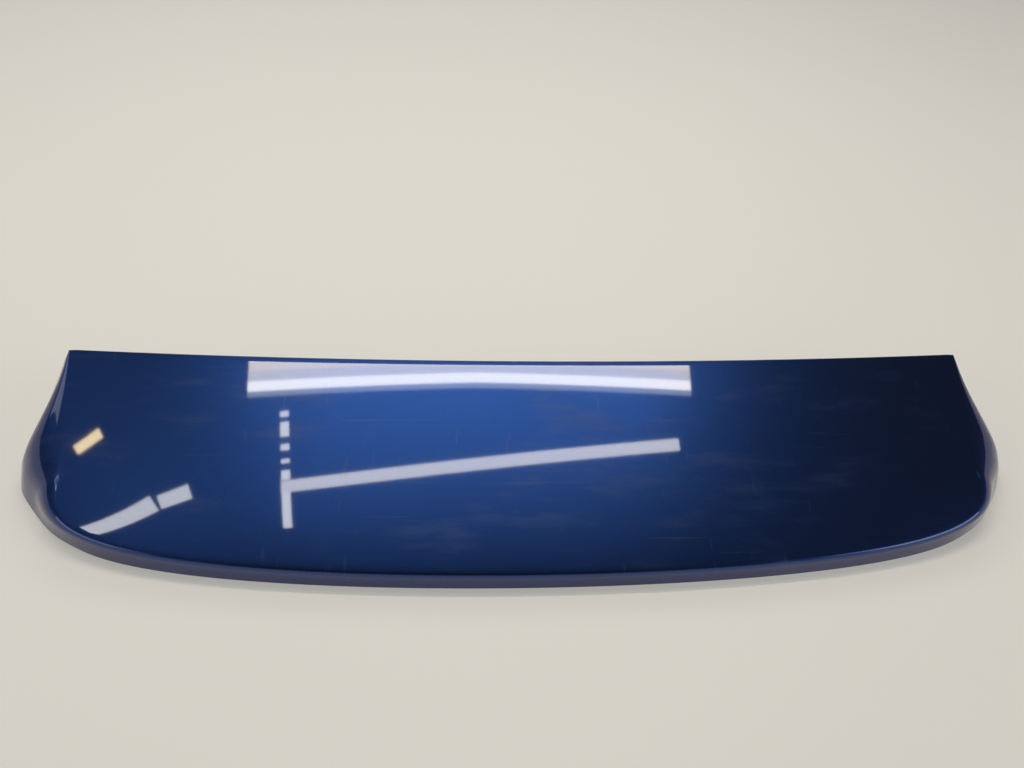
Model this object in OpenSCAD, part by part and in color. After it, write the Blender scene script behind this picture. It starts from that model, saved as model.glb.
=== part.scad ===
// Roof-edge tailgate spoiler: a painted outer skin bonded over a black inner
// shell, with steel fixing studs, foam seals and tape. It lies top side up,
// on the lower edge of its lip and flanks, with the lip towards -Y.

/* [Plan outline] */
// Half of the top skin's width at the front corners
front_half_w = 538; // [470:1:600]
// Half of the top skin's width where the rear corners end
rear_half_w = 509; // [450:1:580]
// Depth on the centre line, from the lip to the front edge
depth = 242; // [210:1:300]
// How far the front corners lie behind the middle of the front edge
front_sweep = 23; // [5:1:40]
// Depth of the curved rear outline, from the lip to the end of its corners
corner_depth = 107; // [80:1:140]
// Fullness of the rear corners, lower is squarer
corner_power = 0.68; // [0.5:0.01:0.95]

/* [Top surface] */
// Height of the top surface above the table at the lip
lip_height = 26.7; // [22:0.1:36]
// Rise of the top surface for each unit of depth
top_slope = 0.303; // [0.2:0.005:0.38]
// Drop of the top surface from its middle to the front corners
camber = 11.8; // [0:0.2:25]
// Outer radius where the top rolls over into its edge
edge_r = 6; // [4:0.5:9]

/* [Flanks and edges] */
// Greatest sideways flare of a flank
flank_flare = 63; // [45:1:80]
// Place of a flank's lowest point, measured from the lip
flank_low_y = 147; // [130:1:170]
// Place where a flank starts to flare, measured from the lip
flank_start_y = 70; // [55:1:80]
// Curve of the flare's start, lower is fuller
flank_power = 0.84; // [0.6:0.01:1]
// Radius that rounds the top into a flank at its widest
flank_r = 45; // [20:1:55]
// Roundness of a flank's lowest corner
flank_round = 14; // [6:1:24]
// Roundness where the flare starts from the lip
start_round = 10; // [4:1:14]
// Outward lean of the lip's lower edge
lip_out = 1.5; // [0:0.5:4]
// Depth of the flange that turns down at the front edge
front_drop = 7; // [5:0.5:12]
// Outward lean of the front flange and of the flank at the front corner
front_out = 2; // [1:0.5:4]

/* [Shells] */
// Wall of the painted skin
skin_wall = 2.5; // [2:0.1:3.5]
// Wall of the inner shell
shell_wall = 2.2; // [1.8:0.1:3]
// Gap between skin and inner shell that the adhesive fills
bond_gap = 1.4; // [1.2:0.1:2]
// Height of the inner shell's bonding rim
bond_rim = 12; // [6:0.5:16]
// Overall thickness between the top surface and the underside
body_thick = 22; // [18:0.5:26]
// Overall thickness just behind the front edge
front_thick = 10; // [9.5:0.5:14]
// Inset of the inner shell's shoulder from the outline
shoulder = 16; // [13:0.5:22]
// Height of the inner shell's rim above the skin's lower edge
rim_lift = 1; // [0.5:0.1:2]

/* [Fixings] */
// Spacing of the inner pair of studs
stud_inner_pitch = 260; // [160:5:340]
// Spacing of the outer pair of studs
stud_outer_pitch = 760; // [560:5:820]
// Place of the stud row, measured from the lip
stud_y = 180; // [150:1:190]
// Radius of the studs
stud_r = 3; // [2.5:0.5:4]
// Length of a stud below its boss
stud_len = 24; // [15:1:30]
// Radius of the stud bosses
boss_r = 12; // [10:0.5:14]
// Drop of a boss below the underside at its centre
boss_drop = 9; // [7:0.5:14]
// Length of the gussets beside each boss
gusset_len = 9; // [5:0.5:14]
// Thickness of the gussets
gusset_t = 2; // [1.5:0.1:2.5]
// Radius of a stud's shoulder, which fills its boss and seal
stud_shoulder_r = 4; // [3.5:0.5:5]
// Radius of a stud's flat head
stud_head_r = 8; // [6:0.5:9]
// Thickness of a stud's flat head
stud_head_t = 2; // [1.5:0.5:2.5]
// Clearance round and over a fitted piece
fit = 0.2; // [0.1:0.05:0.3]
// Spacing of the locating pins
pin_pitch = 510; // [400:5:540]
// Radius of the locating pins
pin_r = 4; // [3:0.5:5]
// Length of the locating pins below their bosses
pin_len = 12; // [6:1:18]
// Spacing of the side clips
clip_pitch = 920; // [860:5:940]
// Place of the side clips, measured from the lip
clip_y = 150; // [130:1:165]
// Length of the side clips below their seats
clip_len = 16; // [10:1:20]

// Radius of the drain holes
drain_r = 2; // [1.5:0.25:3]
// Spacing of the drain holes
drain_pitch = 620; // [300:10:760]
// Place of the drain holes, measured from the lip
drain_y = 44; // [36:1:56]

/* [Seals] */
// Thickness of the foam washers on the studs
washer_t = 4; // [2:0.5:6]
// Thickness of the front seal
seal_t = 4; // [2:0.5:6]
// Thickness of the tape on the flanks
tape_t = 1.2; // [0.8:0.1:3]

/* [Hidden] */
$fn = 48;
// Angle between stations round the rear, and rows from the lip to the front
rear_step = 3.75;
rows = 12;
arc_steps = 6;
// Upward curl of the top surface towards the front
top_curl = 0.0000319;
// Power of the thinning towards the front edge
thin_power = 4;
// Where the front seal starts and ends, as shares of the last row of the underside
seal_from = 0.2;
seal_to = 0.95;
// Angle of the column where the front seal ends
seal_angle = 87;
// Where the tape starts and ends, as shares of the flank's inner wall
tape_from = 0.25;
tape_to = 0.6;
half_steps = 90 / rear_step;
paint = [0.08, 0.14, 0.38];
plastic = [0.10, 0.10, 0.11];

// Smooth lower and upper limits of two values, blended over r
function soft_min(a, b, r) = (a + b - sqrt(pow(a - b, 2) + r * r)) / 2;
function soft_max(a, b, r) = -soft_min(-a, -b, r);
function mix(a, b, t) = a * (1 - t) + b * t;
function unit(v) = v / norm(v);

// The top surface as a height over the plan
function top_z(x, y) =
    lip_height + top_slope * y + top_curl * y * y - camber * pow(x / front_half_w, 2);
function top_normal(x, y) =
    unit([2 * camber * x / pow(front_half_w, 2), -top_slope - 2 * top_curl * y, 1]);

// Rear outline at angle a, its outward direction, and the front edge
function rear_xy(a) = [rear_half_w * sin(a), corner_depth * (1 - pow(cos(a), corner_power))];
function rear_out(a) =
    abs(a) >= 90 ? [sign(a), 0]
                 : let (dx = rear_half_w * cos(a),
                        dy = corner_depth * corner_power * pow(cos(a), corner_power - 1) * sin(a))
                   unit([dy, -dx]);
function front_xy(a, inset = 0) =
    let (share = a / 90)
    [(front_half_w - inset) * share, depth + front_sweep * share * share - inset];

// A point of the plan: angle a picks the column, t runs from the lip to the front
function plan(a, t, inset = 0) =
    mix(rear_xy(a) - inset * rear_out(a), front_xy(a, inset), t);

// Plan of a flank's flare and height of its lower edge, for a place y on the outline
corner_y = depth + front_sweep;
corner_z = top_z(front_half_w, corner_y);
low_flare = flank_flare + flank_round / 2;
function flare(y) =
    let (t = (y - flank_start_y) / (flank_low_y - flank_start_y),
         up = low_flare * (t < 0 ? t : pow(t, flank_power)),
         down = mix(low_flare, front_out, (y - flank_low_y) / (corner_y - flank_low_y)))
    soft_max(lip_out, soft_min(up, down, flank_round), start_round);
function low_z(y) =
    max(0, (corner_z - front_drop) * (y - flank_low_y) / (corner_y - flank_low_y));

// Stations round the outline, each [plan point, way out, lower edge, t].
// The way out is (1, 1) at a front corner, which mitres the walls there
angles = [for (i = [-half_steps : half_steps]) i * rear_step];
side_t = [for (j = [1 : rows - 1]) j / rows];
function rear_station(a) =
    let (p = rear_xy(a), n = rear_out(a), q = p + n * flare(p.y))
    [p, n, [q.x, q.y, low_z(p.y)], 0];
function side_station(s, t) =
    let (p = plan(90 * s, t), q = p + [s * flare(p.y), 0])
    [p, [s, 0], [q.x, q.y, low_z(p.y)], t];
function front_station(a) =
    let (p = front_xy(a), out = [abs(a) >= 90 ? sign(a) : 0, 1], q = p + front_out * out)
    [p, out, [q.x, q.y, top_z(p.x, p.y) - front_drop], 1];
stations = concat([for (a = angles) rear_station(a)],
                  [for (t = side_t) side_station(1, t)],
                  [for (i = [len(angles) - 1 : -1 : 0]) front_station(angles[i])],
                  [for (j = [len(side_t) - 1 : -1 : 0]) side_station(-1, side_t[j])]);
count = len(stations);

// Section of the rolled edge at a station, in (out, up) from its plan point:
// [radius, arc centre, top normal angle, face normal angle, face direction, face length]
function edge(s) =
    let (p = s[0], low = s[2],
         run = norm([low.x - p.x, low.y - p.y]) / norm(s[1]),
         z = top_z(p.x, p.y),
         n3 = top_normal(p.x, p.y),
         n_out = n3.x * s[1].x + n3.y * s[1].y,
         a_top = atan2(n3.z, n_out),
         drop = norm([run, z - low.z]),
         wide = min(1, max(0, run - 2 * lip_out) / flank_flare),
         r = min(mix(edge_r, flank_r, wide), max(skin_wall + 0.4, mix(0.3, 0.6, wide) * drop)),
         c = [-r * cos(a_top), z - r * sin(a_top)],
         to_low = [run, low.z] - c,
         a_face = atan2(to_low.y, to_low.x) + acos(r / norm(to_low)),
         way = [sin(a_face), -cos(a_face)])
    [r, c, a_top, a_face, way, sqrt(pow(norm(to_low), 2) - r * r)];
edges = [for (s = stations) edge(s)];

// Place in space of a point [out, up] of a station's section
function place(s, q) = [s[0].x + s[1].x * q.x, s[0].y + s[1].y * q.x, q.y];
// A point on the arc at share f of its turn, and one on the face, a depth below the surface
function arc_pt(e, f, in) =
    let (a = mix(e[2], e[3], f)) e[1] + (e[0] - in) * [cos(a), sin(a)];
function face_pt(e, back, in) =
    e[1] + (e[0] - in) * [cos(e[3]), sin(e[3])] + (e[5] - back) * e[4];
// The same on a level a given height above the lower edge
function level_pt(s, e, lift, in) =
    let (q = face_pt(e, 0, in)) q + e[4] * (s[2].z + lift - q.y) / e[4].y;

// The whole part is centred on its own plan box
rim_ys = [for (k = [0 : count - 1], i = [0 : arc_steps])
          place(stations[k], arc_pt(edges[k], i / arc_steps, 0)).y];
low_ys = [for (s = stations) s[2].y];
lip_y = min(min(rim_ys), min(low_ys));
back_y = max(max(rim_ys), max(low_ys));
centre = [0, (lip_y + back_y) / 2, 0];

// Inner corners of the grid of a surface: columns are the angles, rows run to the front
function grid_at(i, j) = i * (rows + 1) + j;
cols = len(angles);
// The grid's own border, in the order of the stations
border = concat([for (i = [0 : cols - 1]) grid_at(i, 0)],
                [for (j = [1 : rows - 1]) grid_at(cols - 1, j)],
                [for (i = [cols - 1 : -1 : 0]) grid_at(i, rows)],
                [for (j = [rows - 1 : -1 : 1]) grid_at(0, j)]);
grid_n = cols * (rows + 1);

// Two triangles of a four-sided patch, split the other way on the left half
function patch(a, b, c, d, left = false) =
    left ? [[a, b, d], [b, c, d]] : [[a, b, c], [a, c, d]];
function grid_faces(base, up) =
    [for (i = [0 : cols - 2], j = [0 : rows - 1])
        let (a = base + grid_at(i, j), b = base + grid_at(i + 1, j),
             c = base + grid_at(i + 1, j + 1), d = base + grid_at(i, j + 1))
        each up ? patch(a, d, c, b, i >= half_steps) : patch(b, c, d, a, i < half_steps)];
// A band between two closed rings, given as lists of point numbers
function band(p, q) =
    [for (k = [0 : len(p) - 1])
        let (m = (k + 1) % len(p)) each patch(p[k], q[k], q[m], p[m], on_left(k, m))];
function on_left(k, m) = stations[k][0].x + stations[m][0].x < 0;
function ring(base) = [for (k = [0 : count - 1]) base + k];

// A closed sheet: an upper grid and its rings, then a lower grid and its rings,
// with the last ring of each joined along the rim
module sheet(top_grid, top_rings, low_grid, low_rings) {
    tops = len(top_rings);
    lows = len(low_rings);
    low_base = grid_n + tops * count;
    top_ids = [[for (b = border) b], for (r = [0 : tops - 1]) ring(grid_n + r * count)];
    low_ids = [[for (b = border) low_base + b],
               for (r = [0 : lows - 1]) ring(low_base + grid_n + r * count)];
    points = concat(top_grid, [for (r = top_rings) each r],
                    low_grid, [for (r = low_rings) each r]);
    faces = concat(grid_faces(0, true),
                   [for (r = [0 : tops - 1]) each band(top_ids[r + 1], top_ids[r])],
                   band(low_ids[lows], top_ids[tops]),
                   [for (r = [0 : lows - 1]) each band(low_ids[r], low_ids[r + 1])],
                   grid_faces(low_base, false));
    translate(-centre) polyhedron(points, faces, convexity = 8);
}

// A closed strip: each station gives four corners, joined round and capped at its ends
module strip(sections) {
    n = len(sections);
    translate(-centre)
        polyhedron([for (s = sections) each s],
                   concat([for (k = [0 : n - 2], i = [0 : 3])
                              let (m = (i + 1) % 4)
                              each patch(4 * k + 4 + i, 4 * k + 4 + m, 4 * k + m, 4 * k + i)],
                          patch(0, 1, 2, 3), patch(4 * n - 1, 4 * n - 2, 4 * n - 3, 4 * n - 4)),
                   convexity = 8);
}

// Painted skin: the top, its rolled edge and the flanks, with an even wall
function top_at(p, in) = [p.x, p.y, top_z(p.x, p.y)] - in * top_normal(p.x, p.y);
module upper_skin() {
    function grid(in) = [for (a = angles, j = [0 : rows]) top_at(plan(a, j / rows), in)];
    function arc_ring(f, in) =
        [for (k = [0 : count - 1]) place(stations[k], arc_pt(edges[k], f, in))];
    function low_ring(in) =
        [for (k = [0 : count - 1]) place(stations[k], level_pt(stations[k], edges[k], 0, in))];
    color(paint)
        sheet(grid(0), concat([for (i = [1 : arc_steps]) arc_ring(i / arc_steps, 0)], [low_ring(0)]),
              grid(skin_wall),
              concat([for (i = [1 : arc_steps]) arc_ring(i / arc_steps, skin_wall)],
                     [low_ring(skin_wall)]));
}

// Underside of the inner shell at column a and row share t, and its thickness there
function thick_at(t) = mix(body_thick, front_thick, pow(t, thin_power));
function under_at(a, t, up = 0) =
    let (p = plan(a, t, shoulder)) [p.x, p.y, top_z(p.x, p.y) - thick_at(t) + up];
function under_z(x, y) = top_z(x, y) - thick_at(y / depth);
rim_in = skin_wall + bond_gap;
function rim_h(e) = min(bond_rim, 0.35 * e[5]);

// A hole through the shell for each stud, and bosses moulded on its underside
stud_x = [-stud_outer_pitch / 2, -stud_inner_pitch / 2, stud_inner_pitch / 2, stud_outer_pitch / 2];
function seat_z(x, y) = under_z(x, y) - boss_drop;
function stud_top_z(x) = under_z(x, stud_y) + shell_wall + boss_r * top_slope + fit;
module at(x, y, z) { translate([x, y, z] - centre) children(); }

// A pair of gussets from a boss of radius r out to the underside, level with its wall at the end
module gussets(x, y, r) {
    far = r + gusset_len;
    for (s = [-1, 1])
        at(x, y, 0) rotate([90, 0, 0]) translate([0, 0, -gusset_t / 2])
            linear_extrude(height = gusset_t)
                polygon([[0, under_z(x, y) - boss_drop * 0.8], [s * r, under_z(x, y) - boss_drop * 0.8],
                         [s * far, under_z(x + s * far, y) - 0.5],
                         [s * far, under_z(x + s * far, y) + shell_wall / 2],
                         [0, under_z(x, y) + shell_wall / 2]]);
}

module lower_shell() {
    function foot_ring(in, lift) =
        [for (k = [0 : count - 1])
            place(stations[k], level_pt(stations[k], edges[k], rim_lift + lift, in))];
    function rim_ring(in) =
        [for (k = [0 : count - 1])
            let (e = edges[k], s = stations[k], q = level_pt(s, e, rim_lift, rim_in))
            place(s, q - rim_h(e) * e[4] - (in - rim_in) * [cos(e[3]), sin(e[3])])];
    color(plastic) difference() {
        union() {
            sheet([for (a = angles, j = [0 : rows]) under_at(a, j / rows, shell_wall)],
                  [foot_ring(rim_in + shell_wall, shell_wall / 2), rim_ring(rim_in + shell_wall)],
                  [for (a = angles, j = [0 : rows]) under_at(a, j / rows)],
                  [foot_ring(rim_in, 0), rim_ring(rim_in)]);
            for (x = stud_x)
                at(x, stud_y, seat_z(x, stud_y))
                    cylinder(r = boss_r, h = stud_top_z(x) - seat_z(x, stud_y));
            for (x = stud_x) gussets(x, stud_y, boss_r);
            for (x = [-pin_pitch, pin_pitch] / 2) {
                gussets(x, stud_y, boss_r - 3);
                at(x, stud_y, seat_z(x, stud_y))
                    cylinder(r = boss_r - 3, h = boss_drop + shell_wall / 2);
                at(x, stud_y, seat_z(x, stud_y) - pin_len)
                    cylinder(r = pin_r, h = pin_len + boss_drop);
                at(x, stud_y, seat_z(x, stud_y) - pin_len - pin_r)
                    cylinder(r1 = pin_r / 2, r2 = pin_r, h = pin_r);
            }
            for (x = [-clip_pitch, clip_pitch] / 2)
                at(x, clip_y, seat_z(x, clip_y))
                    cylinder(r = boss_r - 2, h = boss_drop + shell_wall / 2);
        }
        for (x = [-drain_pitch, drain_pitch] / 2)
            at(x, drain_y, under_z(x, drain_y) - shell_wall)
                cylinder(r = drain_r, h = 3 * shell_wall);
        for (x = stud_x)
            at(x, stud_y, seat_z(x, stud_y) - 1)
                cylinder(r = stud_shoulder_r + fit, h = stud_top_z(x) - seat_z(x, stud_y) + 2);
        for (x = [-clip_pitch, clip_pitch] / 2)
            at(x, clip_y, seat_z(x, clip_y) - 1)
                cylinder(r = stud_r + fit, h = boss_drop);
    }
}

// Adhesive between the skin's inner face and the shell's rim
module bond_bead() {
    bead_in = skin_wall + 1.5 * fit;
    bead_t = bond_gap - 3 * fit;
    function bead(k) =
        let (s = stations[k], e = edges[k], n = [cos(e[3]), sin(e[3])],
             low = level_pt(s, e, rim_lift, bead_in) - fit * e[4],
             high = low - (rim_h(e) - 3 * fit) * e[4])
        [place(s, low), place(s, high), place(s, high - bead_t * n), place(s, low - bead_t * n)];
    loop = [for (k = [0 : count]) bead(k % count)];
    n = count;
    color("dimgray") translate(-centre)
        polyhedron([for (k = [0 : n - 1]) each bead(k)],
                   [for (k = [0 : n - 1], i = [0 : 3])
                       let (m = (i + 1) % 4, b = 4 * ((k + 1) % n))
                       each patch(4 * k + i, 4 * k + m, b + m, b + i, on_left(k, (k + 1) % n))],
                   convexity = 8);
}

// Steel studs: a flat head inside the shell, a shoulder through boss and seal, and a shank
module fixing_studs() {
    color("silver") for (x = stud_x) {
        at(x, stud_y, stud_top_z(x)) cylinder(r = stud_head_r, h = stud_head_t);
        at(x, stud_y, seat_z(x, stud_y) - washer_t)
            cylinder(r = stud_shoulder_r, h = washer_t + stud_top_z(x) - seat_z(x, stud_y));
        at(x, stud_y, seat_z(x, stud_y) - stud_len)
            cylinder(r = stud_r, h = stud_len);
    }
}

// Foam washers that seal the studs against the panel
module stud_seals() {
    color("black") for (x = stud_x)
        at(x, stud_y, seat_z(x, stud_y) - washer_t)
            difference() {
                cylinder(r = boss_r, h = washer_t);
                translate([0, 0, -1]) cylinder(r = stud_shoulder_r + fit, h = washer_t + 2);
            }
}

// Push-in clips: a shank in its boss, a collar and barbed fins
module side_clips() {
    color("ivory") for (x = [-clip_pitch, clip_pitch] / 2) {
        at(x, clip_y, seat_z(x, clip_y) - clip_len)
            cylinder(r = stud_r - 0.5, h = clip_len + boss_drop - 2);
        at(x, clip_y, seat_z(x, clip_y) - 1.5) cylinder(r = boss_r - 3, h = 1.5);
        for (i = [0 : 3])
            at(x, clip_y, seat_z(x, clip_y) - clip_len + i * 3)
                cylinder(r1 = stud_r - 0.5, r2 = stud_r + 1.5, h = 2);
    }
}

// Soft seal along the front, under the shell
module front_seal() {
    last = rows - 1;
    function across(a, f, drop) =
        mix(under_at(a, last / rows), under_at(a, 1), f) - [0, 0, drop];
    color("black")
        strip([for (a = [for (b = angles) if (abs(b) < seal_angle) b])
            [across(a, seal_to, fit), across(a, seal_from, fit),
             across(a, seal_from, fit + seal_t), across(a, seal_to, fit + seal_t)]]);
}

// Double-sided tape on the inner wall of each flank
module flank_tape() {
    function wall_pt(j, f, drop) =
        let (k = cols - 1 + j, low = place(stations[k], level_pt(stations[k], edges[k], rim_lift, rim_in)))
        mix(under_at(90, j / rows), low, f) - [0, 0, drop];
    color("darkred")
        strip([for (j = [3 : rows - 3])
            [wall_pt(j, tape_from, fit), wall_pt(j, tape_to, fit),
             wall_pt(j, tape_to, fit + tape_t), wall_pt(j, tape_from, fit + tape_t)]]);
}
module flank_tape_left() { mirror([1, 0, 0]) flank_tape(); }
module flank_tape_right() { flank_tape(); }

upper_skin();
lower_shell();
bond_bead();
fixing_studs();
stud_seals();
side_clips();
front_seal();
flank_tape_left();
flank_tape_right();
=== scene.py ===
import math
import bmesh
import bpy
from mathutils import Matrix, Vector


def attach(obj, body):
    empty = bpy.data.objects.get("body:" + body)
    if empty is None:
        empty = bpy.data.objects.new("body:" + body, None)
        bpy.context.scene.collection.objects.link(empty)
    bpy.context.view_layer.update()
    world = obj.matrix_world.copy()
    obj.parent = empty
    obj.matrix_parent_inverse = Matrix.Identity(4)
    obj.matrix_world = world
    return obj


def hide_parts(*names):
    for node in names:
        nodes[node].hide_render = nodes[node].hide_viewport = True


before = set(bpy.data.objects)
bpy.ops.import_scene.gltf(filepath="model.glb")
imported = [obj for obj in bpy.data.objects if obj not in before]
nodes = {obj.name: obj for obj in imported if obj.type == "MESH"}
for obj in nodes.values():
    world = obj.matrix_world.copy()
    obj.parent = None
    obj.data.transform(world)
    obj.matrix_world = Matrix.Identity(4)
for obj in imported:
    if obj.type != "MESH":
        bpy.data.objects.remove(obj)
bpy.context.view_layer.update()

# Sizes of the spoiler in millimetres, the same as in the part's source
FRONT_HALF_W, REAR_HALF_W, DEPTH, FRONT_SWEEP = 538, 509, 242, 23
CORNER_DEPTH, CORNER_POWER = 107, 0.68
LIP_HEIGHT, TOP_SLOPE, TOP_CURL, CAMBER, EDGE_R = 26.7, 0.303, 0.0000319, 11.8, 6
FLANK_POWER, FLANK_R = 0.84, 45
FLANK_FLARE, FLANK_LOW_Y, FLANK_START_Y, FLANK_ROUND, START_ROUND = 63, 147, 70, 14, 10
LIP_OUT, FRONT_DROP, FRONT_OUT, SKIN_WALL = 1.5, 7, 2, 2.5
CORNER_Y = DEPTH + FRONT_SWEEP
CENTRE_Y, MM = 132.223, 0.001

# What the painted skin has beyond those sizes
SIDE_EASE, SMOOTHED_OFF = 0.05, 2.2
LIP_FALL, LIP_FALL_SHARE, LIP_FALL_POWER = 1.3, 0.12, 6
LOW_FLARE = FLANK_FLARE + SMOOTHED_OFF + FLANK_ROUND / 2
SHOULDER_OUT, SHOULDER_IN, SHOULDER_UP, ARC_SHARE = 0.62, 0.13, 0.52, 0.7
ARC_OF_DROP, FLANK_ARC_OF_DROP, LEAST_INNER_R = 0.3, 0.6, 0.4
EVEN_TURNS, EVEN_TO_Y, EVEN_FADE = 24, 175, 40

# The mesh: the outline's angle runs from -END to END, and the top's rows from rear to front
END, AT_END, AT_ROW = 90, 89.999, 0.0001
COLS, ROWS, ARC_STEPS, WALL_STEPS = 144, 40, 10, 4
SOFT_UNDER, WELD = math.radians(28), 1e-6


class Field:
    """One output of a node. Python's operators add its maths."""

    def __init__(self, tree, socket):
        self.tree, self.socket = tree, socket

    def maths(self, operation, *values):
        return self.tree.node("ShaderNodeMath", {"operation": operation}, dict(enumerate(values)))

    def __add__(self, other): return self.maths("ADD", self, other)
    def __radd__(self, other): return self.maths("ADD", other, self)
    def __sub__(self, other): return self.maths("SUBTRACT", self, other)
    def __rsub__(self, other): return self.maths("SUBTRACT", other, self)
    def __mul__(self, other): return self.maths("MULTIPLY", self, other)
    def __rmul__(self, other): return self.maths("MULTIPLY", other, self)
    def __lt__(self, other): return self.maths("LESS_THAN", self, other)
    def sine(self): return self.maths("SINE", self)
    def most(self, other): return self.maths("MAXIMUM", self, other)


class Tree:
    """A node tree whose nodes all come from one method."""

    def __init__(self, tree):
        self.tree = tree

    def node(self, kind, settings=(), sockets=(), out=0):
        made = self.tree.nodes.new(kind)
        for name, value in dict(settings).items():
            setattr(made, name, value)
        for name, value in dict(sockets).items():
            if isinstance(value, Field):
                self.tree.links.new(value.socket, made.inputs[name])
            else:
                made.inputs[name].default_value = value
        return Field(self, made.outputs[out])

    def seen(self):
        """1 for what is seen straight, mirrored or through something clear."""
        straight, mirrored, through = [self.node("ShaderNodeLightPath", out=ray) for ray in (
            "Is Camera Ray", "Is Glossy Ray", "Is Transmission Ray")]
        return straight.most(mirrored.most(through))

    def blend(self, mask, one, other):
        return self.node("ShaderNodeMix", {"data_type": "RGBA"}, {0: mask, 6: one, 7: other}, 2)


class Finish(Tree):
    """A material with one Principled shader, built from expressions."""

    def __init__(self, name, **constants):
        self.material = bpy.data.materials.new(name)
        self.material.use_nodes = True
        super().__init__(self.material.node_tree)
        self.shader = self.tree.nodes["Principled BSDF"]
        for socket, value in constants.items():
            self.shader.inputs[socket.replace("_", " ")].default_value = value
        self.place = self.node("ShaderNodeTexCoord", out="Object")

    def feed(self, socket, field):
        self.tree.links.new(field.socket, self.shader.inputs[socket])

    def stretched(self, scale, turn):
        """Object coordinates scaled along each axis, then turned about the upright one."""
        return self.node("ShaderNodeMapping", {}, {
            "Vector": self.place, "Scale": scale, "Rotation": (0, 0, turn)})

    def noise(self, scale, detail=2.0, rough=0.5, at=None):
        return self.node("ShaderNodeTexNoise", {}, {
            "Vector": at or self.place, "Scale": scale, "Detail": detail, "Roughness": rough})

    def specks(self, scale):
        return self.node("ShaderNodeTexVoronoi", {}, {"Vector": self.place, "Scale": scale},
                         "Distance")

    def ease(self, field, low, high):
        return self.node("ShaderNodeMapRange", {"interpolation_type": "SMOOTHSTEP"}, {
            "Value": field, "From Min": low, "From Max": high})

    def bump(self, height, strength, distance):
        return self.node("ShaderNodeBump", {}, {
            "Height": height, "Strength": strength, "Distance": distance})

    def height(self):
        return self.node("ShaderNodeSeparateXYZ", {}, {"Vector": self.place}, "Z")


def rgb(r, g, b): return (r, g, b, 1)


def blue_paint():
    paint = Finish("blue_clearcoat_paint", Coat_Weight=1.0, Coat_Roughness=0.03, Metallic=1.0,
                   Specular_Tint=rgb(0.10, 0.16, 0.35), Sheen_Weight=0.05, Sheen_Roughness=0.5)
    flakes = paint.specks(scale=1500)
    cloud = paint.noise(scale=5, detail=3, rough=0.55)
    colour = paint.blend(paint.ease(flakes, low=0.1, high=0.6),
                         rgb(0.016, 0.053, 0.210), rgb(0.0113, 0.040, 0.168))
    # Wiped haze, hair scratches both ways and settled dust
    wiped = paint.stretched(scale=(1, 4, 1), turn=0.35)
    wipes = paint.ease(paint.noise(scale=9, detail=4, rough=0.6, at=wiped), low=0.52, high=0.75)
    along = paint.noise(scale=60, detail=3, rough=0.55,
                        at=paint.stretched(scale=(0.08, 3.2, 1), turn=0.5))
    across = paint.noise(scale=55, detail=3, at=paint.stretched(scale=(2.6, 0.07, 1), turn=-0.25))
    hairs = paint.ease(along, low=0.685, high=0.72) + paint.ease(across, low=0.69, high=0.72)
    worn = hairs * 0.5
    dusty = (paint.specks(scale=260) < 0.075) * paint.ease(paint.noise(scale=14), low=0.5, high=0.7)
    haze = wipes * 0.035 + worn * 0.06 + dusty * 0.22
    paint.feed("Base Color", paint.blend(haze, colour, rgb(0.42, 0.45, 0.50)))
    paint.feed("Roughness", 0.30 + cloud * 0.06 + wipes * 0.05 + worn * 0.08)
    paint.feed("Metallic", 1.0 - dusty * 0.6 - wipes * 0.08)
    paint.feed("Coat Weight", 1.0 - worn * 0.25 - dusty * 0.5)
    paint.feed("Normal", paint.bump(flakes, strength=0.08, distance=0.0002))
    return paint.material


def black_plastic():
    plastic = Finish("black_grained_plastic")
    grain = plastic.noise(scale=900, detail=4, rough=0.6)
    patch = plastic.noise(scale=12, detail=3)
    scuffed = plastic.stretched(scale=(0.15, 2.0, 1), turn=0.6)
    scuff = plastic.ease(plastic.noise(scale=70, detail=3, rough=0.6, at=scuffed),
                         low=0.66, high=0.74)
    colour = plastic.blend(patch, rgb(0.018, 0.018, 0.019), rgb(0.032, 0.032, 0.034))
    plastic.feed("Base Color", plastic.blend(scuff * 0.25, colour, rgb(0.12, 0.12, 0.12)))
    plastic.feed("Roughness", 0.50 + grain * 0.14 + scuff * 0.1)
    plastic.feed("Normal", plastic.bump(grain, strength=0.25, distance=0.0004))
    return plastic.material


def plated_steel():
    steel = Finish("zinc_plated_steel", Metallic=1.0)
    cloud = steel.noise(scale=120, detail=3)
    thread_pitch = 0.001
    thread = (steel.height() * (2 * math.pi / thread_pitch)).sine()
    steel.feed("Base Color", steel.blend(cloud, rgb(0.58, 0.57, 0.52), rgb(0.70, 0.70, 0.67)))
    steel.feed("Roughness", 0.28 + cloud * 0.18)
    steel.feed("Normal", steel.bump(thread, strength=0.6, distance=0.0003))
    return steel.material


def black_foam():
    foam = Finish("black_foam")
    cells = foam.specks(scale=700)
    foam.feed("Base Color", foam.blend(foam.ease(cells, low=0.1, high=0.7),
                                       rgb(0.012, 0.012, 0.012), rgb(0.035, 0.035, 0.035)))
    foam.feed("Roughness", 0.85 + cells * 0.1)
    foam.feed("Normal", foam.bump(cells, strength=0.6, distance=0.0006))
    return foam.material


def mottled(name, colours, scale, dull, dull_more, bump, **constants):
    """A plain material with one soft noise in its colour, roughness and bump."""
    finish = Finish(name, **constants)
    mottle = finish.noise(scale)
    finish.feed("Base Color", finish.blend(mottle, *colours))
    finish.feed("Roughness", dull + mottle * dull_more)
    finish.feed("Normal", finish.bump(mottle, *bump))
    return finish.material


def adhesive():
    return mottled("cured_adhesive", (rgb(0.05, 0.05, 0.05), rgb(0.10, 0.10, 0.10)),
                   scale=180, dull=0.45, dull_more=0.2, bump=(0.5, 0.0008))


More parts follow.
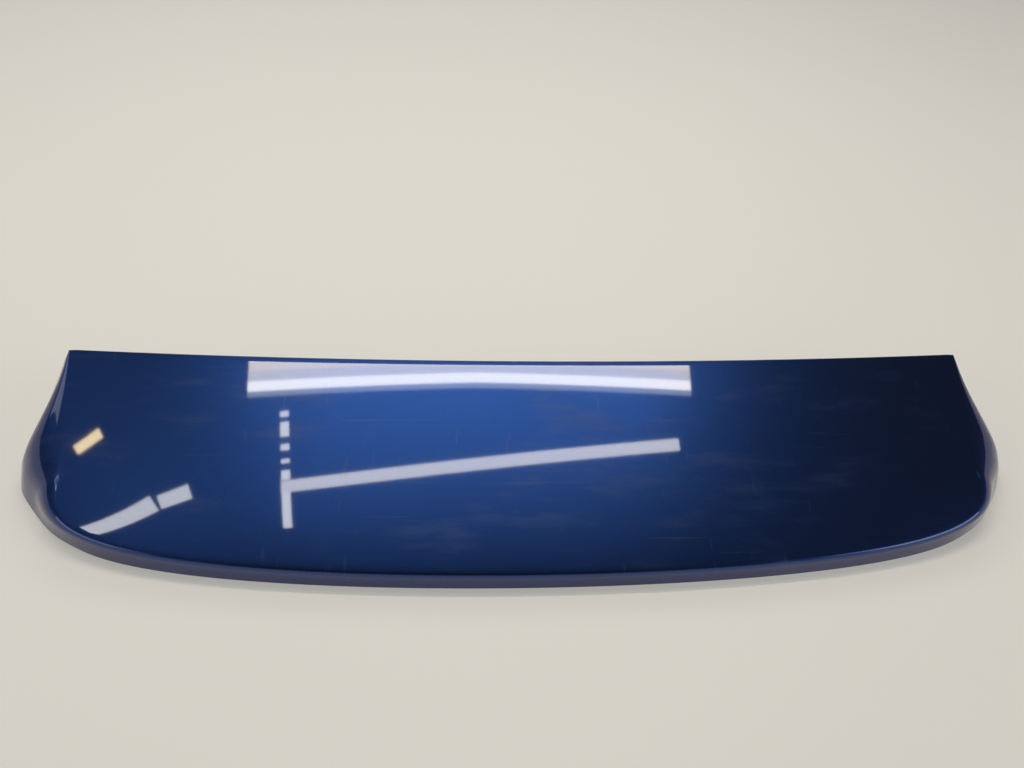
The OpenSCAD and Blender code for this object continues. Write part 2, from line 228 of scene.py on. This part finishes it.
def nylon():
    return mottled("natural_nylon", (rgb(0.66, 0.64, 0.55), rgb(0.76, 0.74, 0.66)),
                   scale=150, dull=0.38, dull_more=0.12, bump=(0.1, 0.0003),
                   Subsurface_Weight=0.15, Subsurface_Scale=0.004)


def tape():
    return mottled("red_liner_tape", (rgb(0.42, 0.03, 0.02), rgb(0.55, 0.05, 0.03)),
                   scale=400, dull=0.32, dull_more=0.15, bump=(0.1, 0.0002))


def soft_min(a, b, r): return (a + b - math.hypot(a - b, r)) / 2
def soft_max(a, b, r): return -soft_min(-a, -b, r)
def mix(a, b, t): return a * (1 - t) + b * t


def top_z(x, y):
    return LIP_HEIGHT + TOP_SLOPE * y + TOP_CURL * y * y - CAMBER * (x / FRONT_HALF_W) ** 2


def top_normal(x, y):
    slope_x, slope_y = -2 * CAMBER * x / FRONT_HALF_W ** 2, TOP_SLOPE + 2 * TOP_CURL * y
    return Vector((-slope_x, -slope_y, 1)).normalized()


def rear_xy(a):
    c = max(0.0, math.cos(math.radians(a)))
    return Vector((REAR_HALF_W * math.sin(math.radians(a)), CORNER_DEPTH * (1 - c ** CORNER_POWER)))


def side_of(a):
    """-1 or 1 at the ends of the outline, which are the sides, and 0 between them."""
    return math.copysign(1, a) if abs(a) > AT_END else 0


def rear_out(a):
    if side_of(a):
        return Vector((side_of(a), 0))
    s, c = math.sin(math.radians(a)), math.cos(math.radians(a))
    across = CORNER_DEPTH * CORNER_POWER * c ** (CORNER_POWER - 1) * s
    return Vector((across, -REAR_HALF_W * c)).normalized()


def front_xy(a):
    share = a / END
    return Vector((FRONT_HALF_W * share, DEPTH + FRONT_SWEEP * share * share))


def plan(a, t):
    """A point of the top seen from above. Its columns leave the rear corner straight."""
    rear, front = rear_xy(a), front_xy(a)
    y = mix(rear.y, front.y, t)
    u = max(0, (y - CORNER_DEPTH) / (front.y - CORNER_DEPTH))
    eased = (u - SIDE_EASE * (1 - math.exp(-u / SIDE_EASE))) / (1 - SIDE_EASE)
    return Vector((mix(rear.x, front.x, min(1, eased)), y))


def lip_fall(a, t):
    """The top's rise over its plain slope: a small fall just before the lip."""
    at_lip = math.exp(-t / LIP_FALL_SHARE)
    return -LIP_FALL * at_lip * (1 - abs(a / END) ** LIP_FALL_POWER)


def flare(y):
    """How far the flank's foot stands out from the side of the top."""
    t = (y - FLANK_START_Y) / (FLANK_LOW_Y - FLANK_START_Y)
    up = LOW_FLARE * (t if t < 0 else t ** FLANK_POWER)
    down = mix(LOW_FLARE, FRONT_OUT, (y - FLANK_LOW_Y) / (CORNER_Y - FLANK_LOW_Y))
    return soft_max(LIP_OUT, soft_min(up, down, FLANK_ROUND), START_ROUND)


def low_z(y):
    """The foot's height: on the ground to the flank's lowest place, then up to the front."""
    rise = top_z(FRONT_HALF_W, CORNER_Y) - FRONT_DROP
    return max(0.0, rise * (y - FLANK_LOW_Y) / (CORNER_Y - FLANK_LOW_Y))


class Station:
    """The rolled edge's section at one place of the outline, in (out, up)."""

    def __init__(self, a, t):
        self.a, self.t = a, t
        self.on_rear, self.on_front = t < AT_ROW, t > 1 - AT_ROW
        if self.on_front:
            self.p = front_xy(a)
            self.foot = self.p + FRONT_OUT * Vector((side_of(a), 1))
            self.low = top_z(*self.p) - FRONT_DROP
        else:
            self.p = plan(a, t)
            out = rear_out(a) if self.on_rear else Vector((math.copysign(1, a), 0))
            self.foot = rear_xy(a).lerp(front_xy(a), t) + flare(self.p.y) * out
            self.low = low_z(self.p.y)
        run = (self.foot - self.p).length
        drop = math.hypot(run, top_z(*self.p) - self.low)
        self.wide = min(1, max(0, run - 2 * LIP_OUT) / FLANK_FLARE)
        roomy = mix(ARC_OF_DROP, FLANK_ARC_OF_DROP, self.wide) * drop
        self.r = min(mix(EDGE_R, FLANK_R, self.wide), max(SKIN_WALL + LEAST_INNER_R, roomy))

    def settle(self):
        """Work out the arc and the wall between the top and the foot."""
        run = (self.foot - self.p).length
        self.out = (self.foot - self.p) / run
        fall = lip_fall(self.a, self.t)
        z, n = top_z(*self.p) + fall, top_normal(*self.p)
        self.top = math.atan2(n.z, n.x * self.out.x + n.y * self.out.y)
        if self.on_rear:
            self.top += fall / LIP_FALL_SHARE / DEPTH
        self.c = Vector((-self.r * math.cos(self.top), z - self.r * math.sin(self.top)))
        to_low = Vector((run, self.low)) - self.c
        self.face = math.atan2(to_low.y, to_low.x) + math.acos(self.r / to_low.length)
        self.way = Vector((math.sin(self.face), -math.cos(self.face)))
        start, end = Vector((0, z)), Vector((run, self.low))
        over = start + SHOULDER_OUT * run * Vector((math.sin(self.top), -math.cos(self.top)))
        above = end + Vector((-SHOULDER_IN * run, SHOULDER_UP * (z - self.low)))
        self.curve = start, over, above, end

    def rounded(self, q, u, depth):
        """Swing a point of the section over to the flank's full shoulder."""
        a, b, c, d = self.curve
        v = 1 - u
        on = v ** 3 * a + 3 * v * v * u * b + 3 * v * u * u * c + u ** 3 * d
        along = (v * v * (b - a) + 2 * v * u * (c - b) + u * u * (d - c)).normalized()
        on -= depth * Vector((-along.y, along.x))
        return self.at(q.lerp(on, self.wide))

    def at(self, q): return Vector((self.p.x + self.out.x * q.x, self.p.y + self.out.y * q.x, q.y))

    def arc(self, f, depth):
        a = mix(self.top, self.face, f)
        q = self.c + (self.r - depth) * Vector((math.cos(a), math.sin(a)))
        return self.rounded(q, ARC_SHARE * f, depth)

    def wall(self, f, depth):
        start = self.c + (self.r - depth) * Vector((math.cos(self.face), math.sin(self.face)))
        end = start + self.way * (self.low - start.y) / self.way.y
        q = self.rounded(start.lerp(end, f), mix(ARC_SHARE, 1, f), depth)
        return Vector((q.x, q.y, max(q.z, self.low))) if f == 1 else q


def placed(p): return Vector((p.x, p.y - CENTRE_Y, p.z)) * MM


def round_the_corners(stations):
    """Even out foot and radius along the outline, except towards the front."""
    rear = sorted((s for s in stations if s.on_rear), key=lambda s: s.a)
    left, right = [sorted((s for s in stations if side_of(s.a) == way
                           and not s.on_rear and not s.on_front), key=lambda s: s.t)
                   for way in (-1, 1)]
    row = left[::-1] + rear + right
    keep = [min(1, max(0, (s.p.y - EVEN_TO_Y) / EVEN_FADE)) for s in row]

    def evened(name):
        of = [getattr(s, name) for s in row]
        return [(a + 2 * b + c) / 4 for a, b, c in zip(of, of[1:], of[2:])]

    for _ in range(EVEN_TURNS):
        feet, radii, widths = evened("foot"), evened("r"), evened("wide")
        for s, k, foot, r, wide in zip(row[1:-1], keep[1:-1], feet, radii, widths):
            s.foot, s.r, s.wide = foot.lerp(s.foot, k), mix(r, s.r, k), mix(wide, s.wide, k)
    for s in stations:
        s.settle()


def painted_skin():
    """The outer skin as one closed sheet: top, rolled edge, wall, foot and inner side."""
    bm = bmesh.new()
    mark = bm.verts.layers.int.new("station")
    stations = []

    def sheet(depth, keep):
        grid = bmesh.ops.create_grid(bm, x_segments=COLS, y_segments=ROWS, size=1)["verts"]
        for v in grid:
            a, t = END * v.co.x, (v.co.y + 1) / 2
            if v.is_boundary and keep:
                stations.append(Station(a, t))
                v[mark] = len(stations)
            p = plan(a, t)
            v.co = placed(Vector((p.x, p.y, top_z(*p) + lip_fall(a, t))) - depth * top_normal(*p))
        return list(dict.fromkeys(e for v in grid for e in v.link_edges if e.is_boundary))

    def ring(border, where):
        made = bmesh.ops.extrude_edge_only(bm, edges=border)["geom"]
        for v in made:
            if isinstance(v, bmesh.types.BMVert):
                v.co = placed(where(stations[v[mark] - 1]))
        return [e for e in made if isinstance(e, bmesh.types.BMEdge) and e.is_boundary]

    border = sheet(0, True)
    round_the_corners(stations)
    for i in range(1, ARC_STEPS + 1):
        border = ring(border, lambda s: s.arc(i / ARC_STEPS, 0))
    for i in range(1, WALL_STEPS + 1):
        border = ring(border, lambda s: s.wall(i / WALL_STEPS, 0))
    foot = border
    border = ring(border, lambda s: s.wall(1, SKIN_WALL))
    foot = foot + border
    for i in range(WALL_STEPS - 1, 0, -1):
        border = ring(border, lambda s: s.wall(i / WALL_STEPS, SKIN_WALL))
    for i in range(ARC_STEPS, 0, -1):
        border = ring(border, lambda s: s.arc(i / ARC_STEPS, SKIN_WALL))
    bmesh.ops.bridge_loops(bm, edges=border + sheet(SKIN_WALL, False))
    bmesh.ops.recalc_face_normals(bm, faces=bm.faces)
    for face in bm.faces:
        face.smooth = True
    for edge in foot:
        if edge.is_valid:
            edge.smooth = False
    return bm


def piece(name, bm, material):
    mesh = bpy.data.meshes.new(name)
    bm.to_mesh(mesh)
    bm.free()
    made = bpy.data.objects.new(name, mesh)
    bpy.context.scene.collection.objects.link(made)
    mesh.materials.append(material)
    return made


def smoothed(node, name, material):
    """A merged copy of a CAD node with soft shading between its hard edges."""
    bm = bmesh.new()
    bm.from_mesh(nodes[node].data)
    bmesh.ops.remove_doubles(bm, verts=bm.verts, dist=WELD)
    for face in bm.faces:
        face.smooth = True
    for edge in bm.edges:
        edge.smooth = edge.calc_face_angle(0) < SOFT_UNDER
    made = piece(name, bm, material)
    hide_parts(node)
    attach(made, "root")


skin = piece("painted_skin", painted_skin(), blue_paint())
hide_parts("upper_skin")
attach(skin, "root")
smoothed("lower_shell", "inner_shell", black_plastic())
smoothed("bond_bead", "adhesive_bead", adhesive())
smoothed("fixing_studs", "studs", plated_steel())
seal_foam = black_foam()
smoothed("stud_seals", "stud_washers", seal_foam)
smoothed("side_clips", "push_clips", nylon())
smoothed("front_seal", "front_foam", seal_foam)
liner = tape()
smoothed("flank_tape_left", "tape_left", liner)
smoothed("flank_tape_right", "tape_right", liner)


# The stage, in metres
FLOOR_HALF, FLOOR_GAP = 12, 0.0003
FLOOR_GLOW = rgb(0.27, 0.26, 0.24)
DIM, PALE = rgb(0.045, 0.045, 0.046), rgb(0.56, 0.55, 0.51)
BACKDROP_RISE = 0.34
LAMPS_Z = 2.4
WHITE, TUBE, CREAM = (1, 1, 1), (1, 0.97, 0.91), (1, 0.87, 0.69)
COOL, SOFT, AMBER = (0.86, 0.93, 1), (1, 0.96, 0.92), (1, 0.78, 0.42)


def floor():
    bm = bmesh.new()
    bmesh.ops.create_grid(bm, x_segments=1, y_segments=1, size=FLOOR_HALF)
    bm.transform(Matrix.Translation((0, 0, -FLOOR_GAP)))
    pale = Finish("pale_floor", Roughness=0.55, Emission_Strength=1.0)
    cloud = pale.noise(scale=0.8)
    pale.feed("Base Color", pale.blend(cloud, rgb(0.74, 0.73, 0.67), rgb(0.78, 0.77, 0.71)))
    pale.feed("Emission Color", pale.blend(pale.seen(), rgb(0, 0, 0), FLOOR_GLOW))
    piece("floor", bm, pale.material)


def lamp(name, at, size, power, colour=WHITE):
    """A rectangular lamp that shines straight down until it is turned."""
    data = bpy.data.lights.new(name, "AREA")
    data.shape, data.size, data.size_y = "RECTANGLE", size[0], size[1]
    data.energy, data.color = power, colour
    made = bpy.data.objects.new(name, data)
    bpy.context.scene.collection.objects.link(made)
    made.location = at
    return made


def strip(name, x, y, length, width, power, turn=0.0, colour=WHITE):
    """A lamp over the part, turned by some degrees, that its gloss mirrors."""
    made = lamp(name, (x, y, LAMPS_Z), (length, width), power, colour)
    made.rotation_euler = (0, 0, math.radians(turn))


def aimed(name, at, size, power, aim=(0, 0, 0)):
    """A lamp beside the part, turned to shine on one place."""
    made = lamp(name, at, size, power)
    made.rotation_euler = (Vector(aim) - Vector(at)).to_track_quat("-Z", "Y").to_euler()


def bowed_front_strips():
    """The front lamp is bowed a little, so each of its strips is two lamps."""
    middle_x, half, bow, turn = -0.02, 1.03, 0.0045, 1.0
    for name, y, width, power, colour in (("front_tube", 0.664, 0.04, 2.4, TUBE),
                                          ("front_tube_edge", 0.633, 0.022, 0.3, COOL),
                                          ("front_trough", 0.704, 0.04, 1.3, SOFT),
                                          ("front_glow", 0.7665, 0.085, 3.6, CREAM)):
        for way in (-1, 1):
            strip(f"{name}_{way}", middle_x + way * half / 2, y - bow, half, width, power,
                  -way * turn, colour)


def crossing_dashes():
    """The crossing lamp shows as dashes in one leaning line."""
    first_x, first_y, lean, turn = -0.8785, 0.5465, 0.0744, 4.26
    width, power_per_length = 0.039, 1.5
    dashes = ((0.538, 0.023), (0.478, 0.058), (0.4075, 0.025), (0.3525, 0.017),
              (0.2965, 0.039), (0.14, 0.17))
    for number, (y, length) in enumerate(dashes):
        strip(f"cross_dash_{number}", first_x + (first_y - y) * lean, y, width, length,
              power_per_length * length, turn)


floor()
bowed_front_strips()
strip("long_tube", 0.028, 0.3275, 1.82, 0.05, 3.1, 5.06, TUBE)
strip("left_tube", -1.618, 0.071, 0.43, 0.085, 1.2, 32.6)
strip("left_tube_end", -1.347, 0.215, 0.145, 0.068, 0.33, 20.3)
crossing_dashes()
aimed("back_soft", (0, 3.4, 2.6), (4, 1.6), 26, aim=(0, 0.1, 0))
aimed("front_line", (0, -3.4, 1.5), (5, 0.12), 3)
aimed("left_soft", (-3.2, -1.5, 2.0), (2, 1.6), 14)
aimed("right_soft", (3.2, -1.5, 2.0), (2, 1.6), 22)
aimed("left_high", (-2.6, 1.25, 1.9), (1.0, 1.2), 5, aim=(-0.4, 0.1, 0))
strip("warm_patch", -1.755, 0.465, 0.125, 0.045, 0.32, 33, AMBER)

# A dim surround with a pale backdrop below BACKDROP_RISE, a direction's upward share
world = bpy.data.worlds.new("dim_surround")
world.use_nodes = True
surround = Tree(world.node_tree)
direction = surround.node("ShaderNodeTexCoord", out="Generated")
rise = surround.node("ShaderNodeSeparateXYZ", {}, {"Vector": direction}, "Z")
dim = world.node_tree.nodes["Background"]
dim.inputs["Color"].default_value = DIM
pale = surround.node("ShaderNodeBackground", {}, {"Color": PALE})
backdrop = surround.seen() * (rise < BACKDROP_RISE)
shown = surround.node("ShaderNodeMixShader", {}, {
    0: backdrop, 1: Field(surround, dim.outputs[0]), 2: pale})
world.node_tree.links.new(shown.socket, world.node_tree.nodes["World Output"].inputs["Surface"])
scene = bpy.context.scene
scene.world = world
scene.view_settings.view_transform = "Standard"

# Camera: 41 degrees down, turned 6 degrees, rolled 4
CAMERA_AT, LENS_MM, SENSOR_MM, CLIP_START = (-0.0988, -0.59122, 0.6809), 27.04, 36, 0.01
eye = bpy.data.cameras.new("camera")
eye.lens, eye.sensor_width, eye.clip_start = LENS_MM, SENSOR_MM, CLIP_START
camera = bpy.data.objects.new("camera", eye)
scene.collection.objects.link(camera)
ahead = Vector((0.08034, 0.75022, -0.65629)).normalized()
right = Vector((0.99677, -0.05907, 0.05450))
right = (right - right.dot(ahead) * ahead).normalized()
turned = Matrix((right, right.cross(ahead), -ahead)).transposed().to_4x4()
camera.matrix_world = Matrix.Translation(CAMERA_AT) @ turned
scene.camera = camera
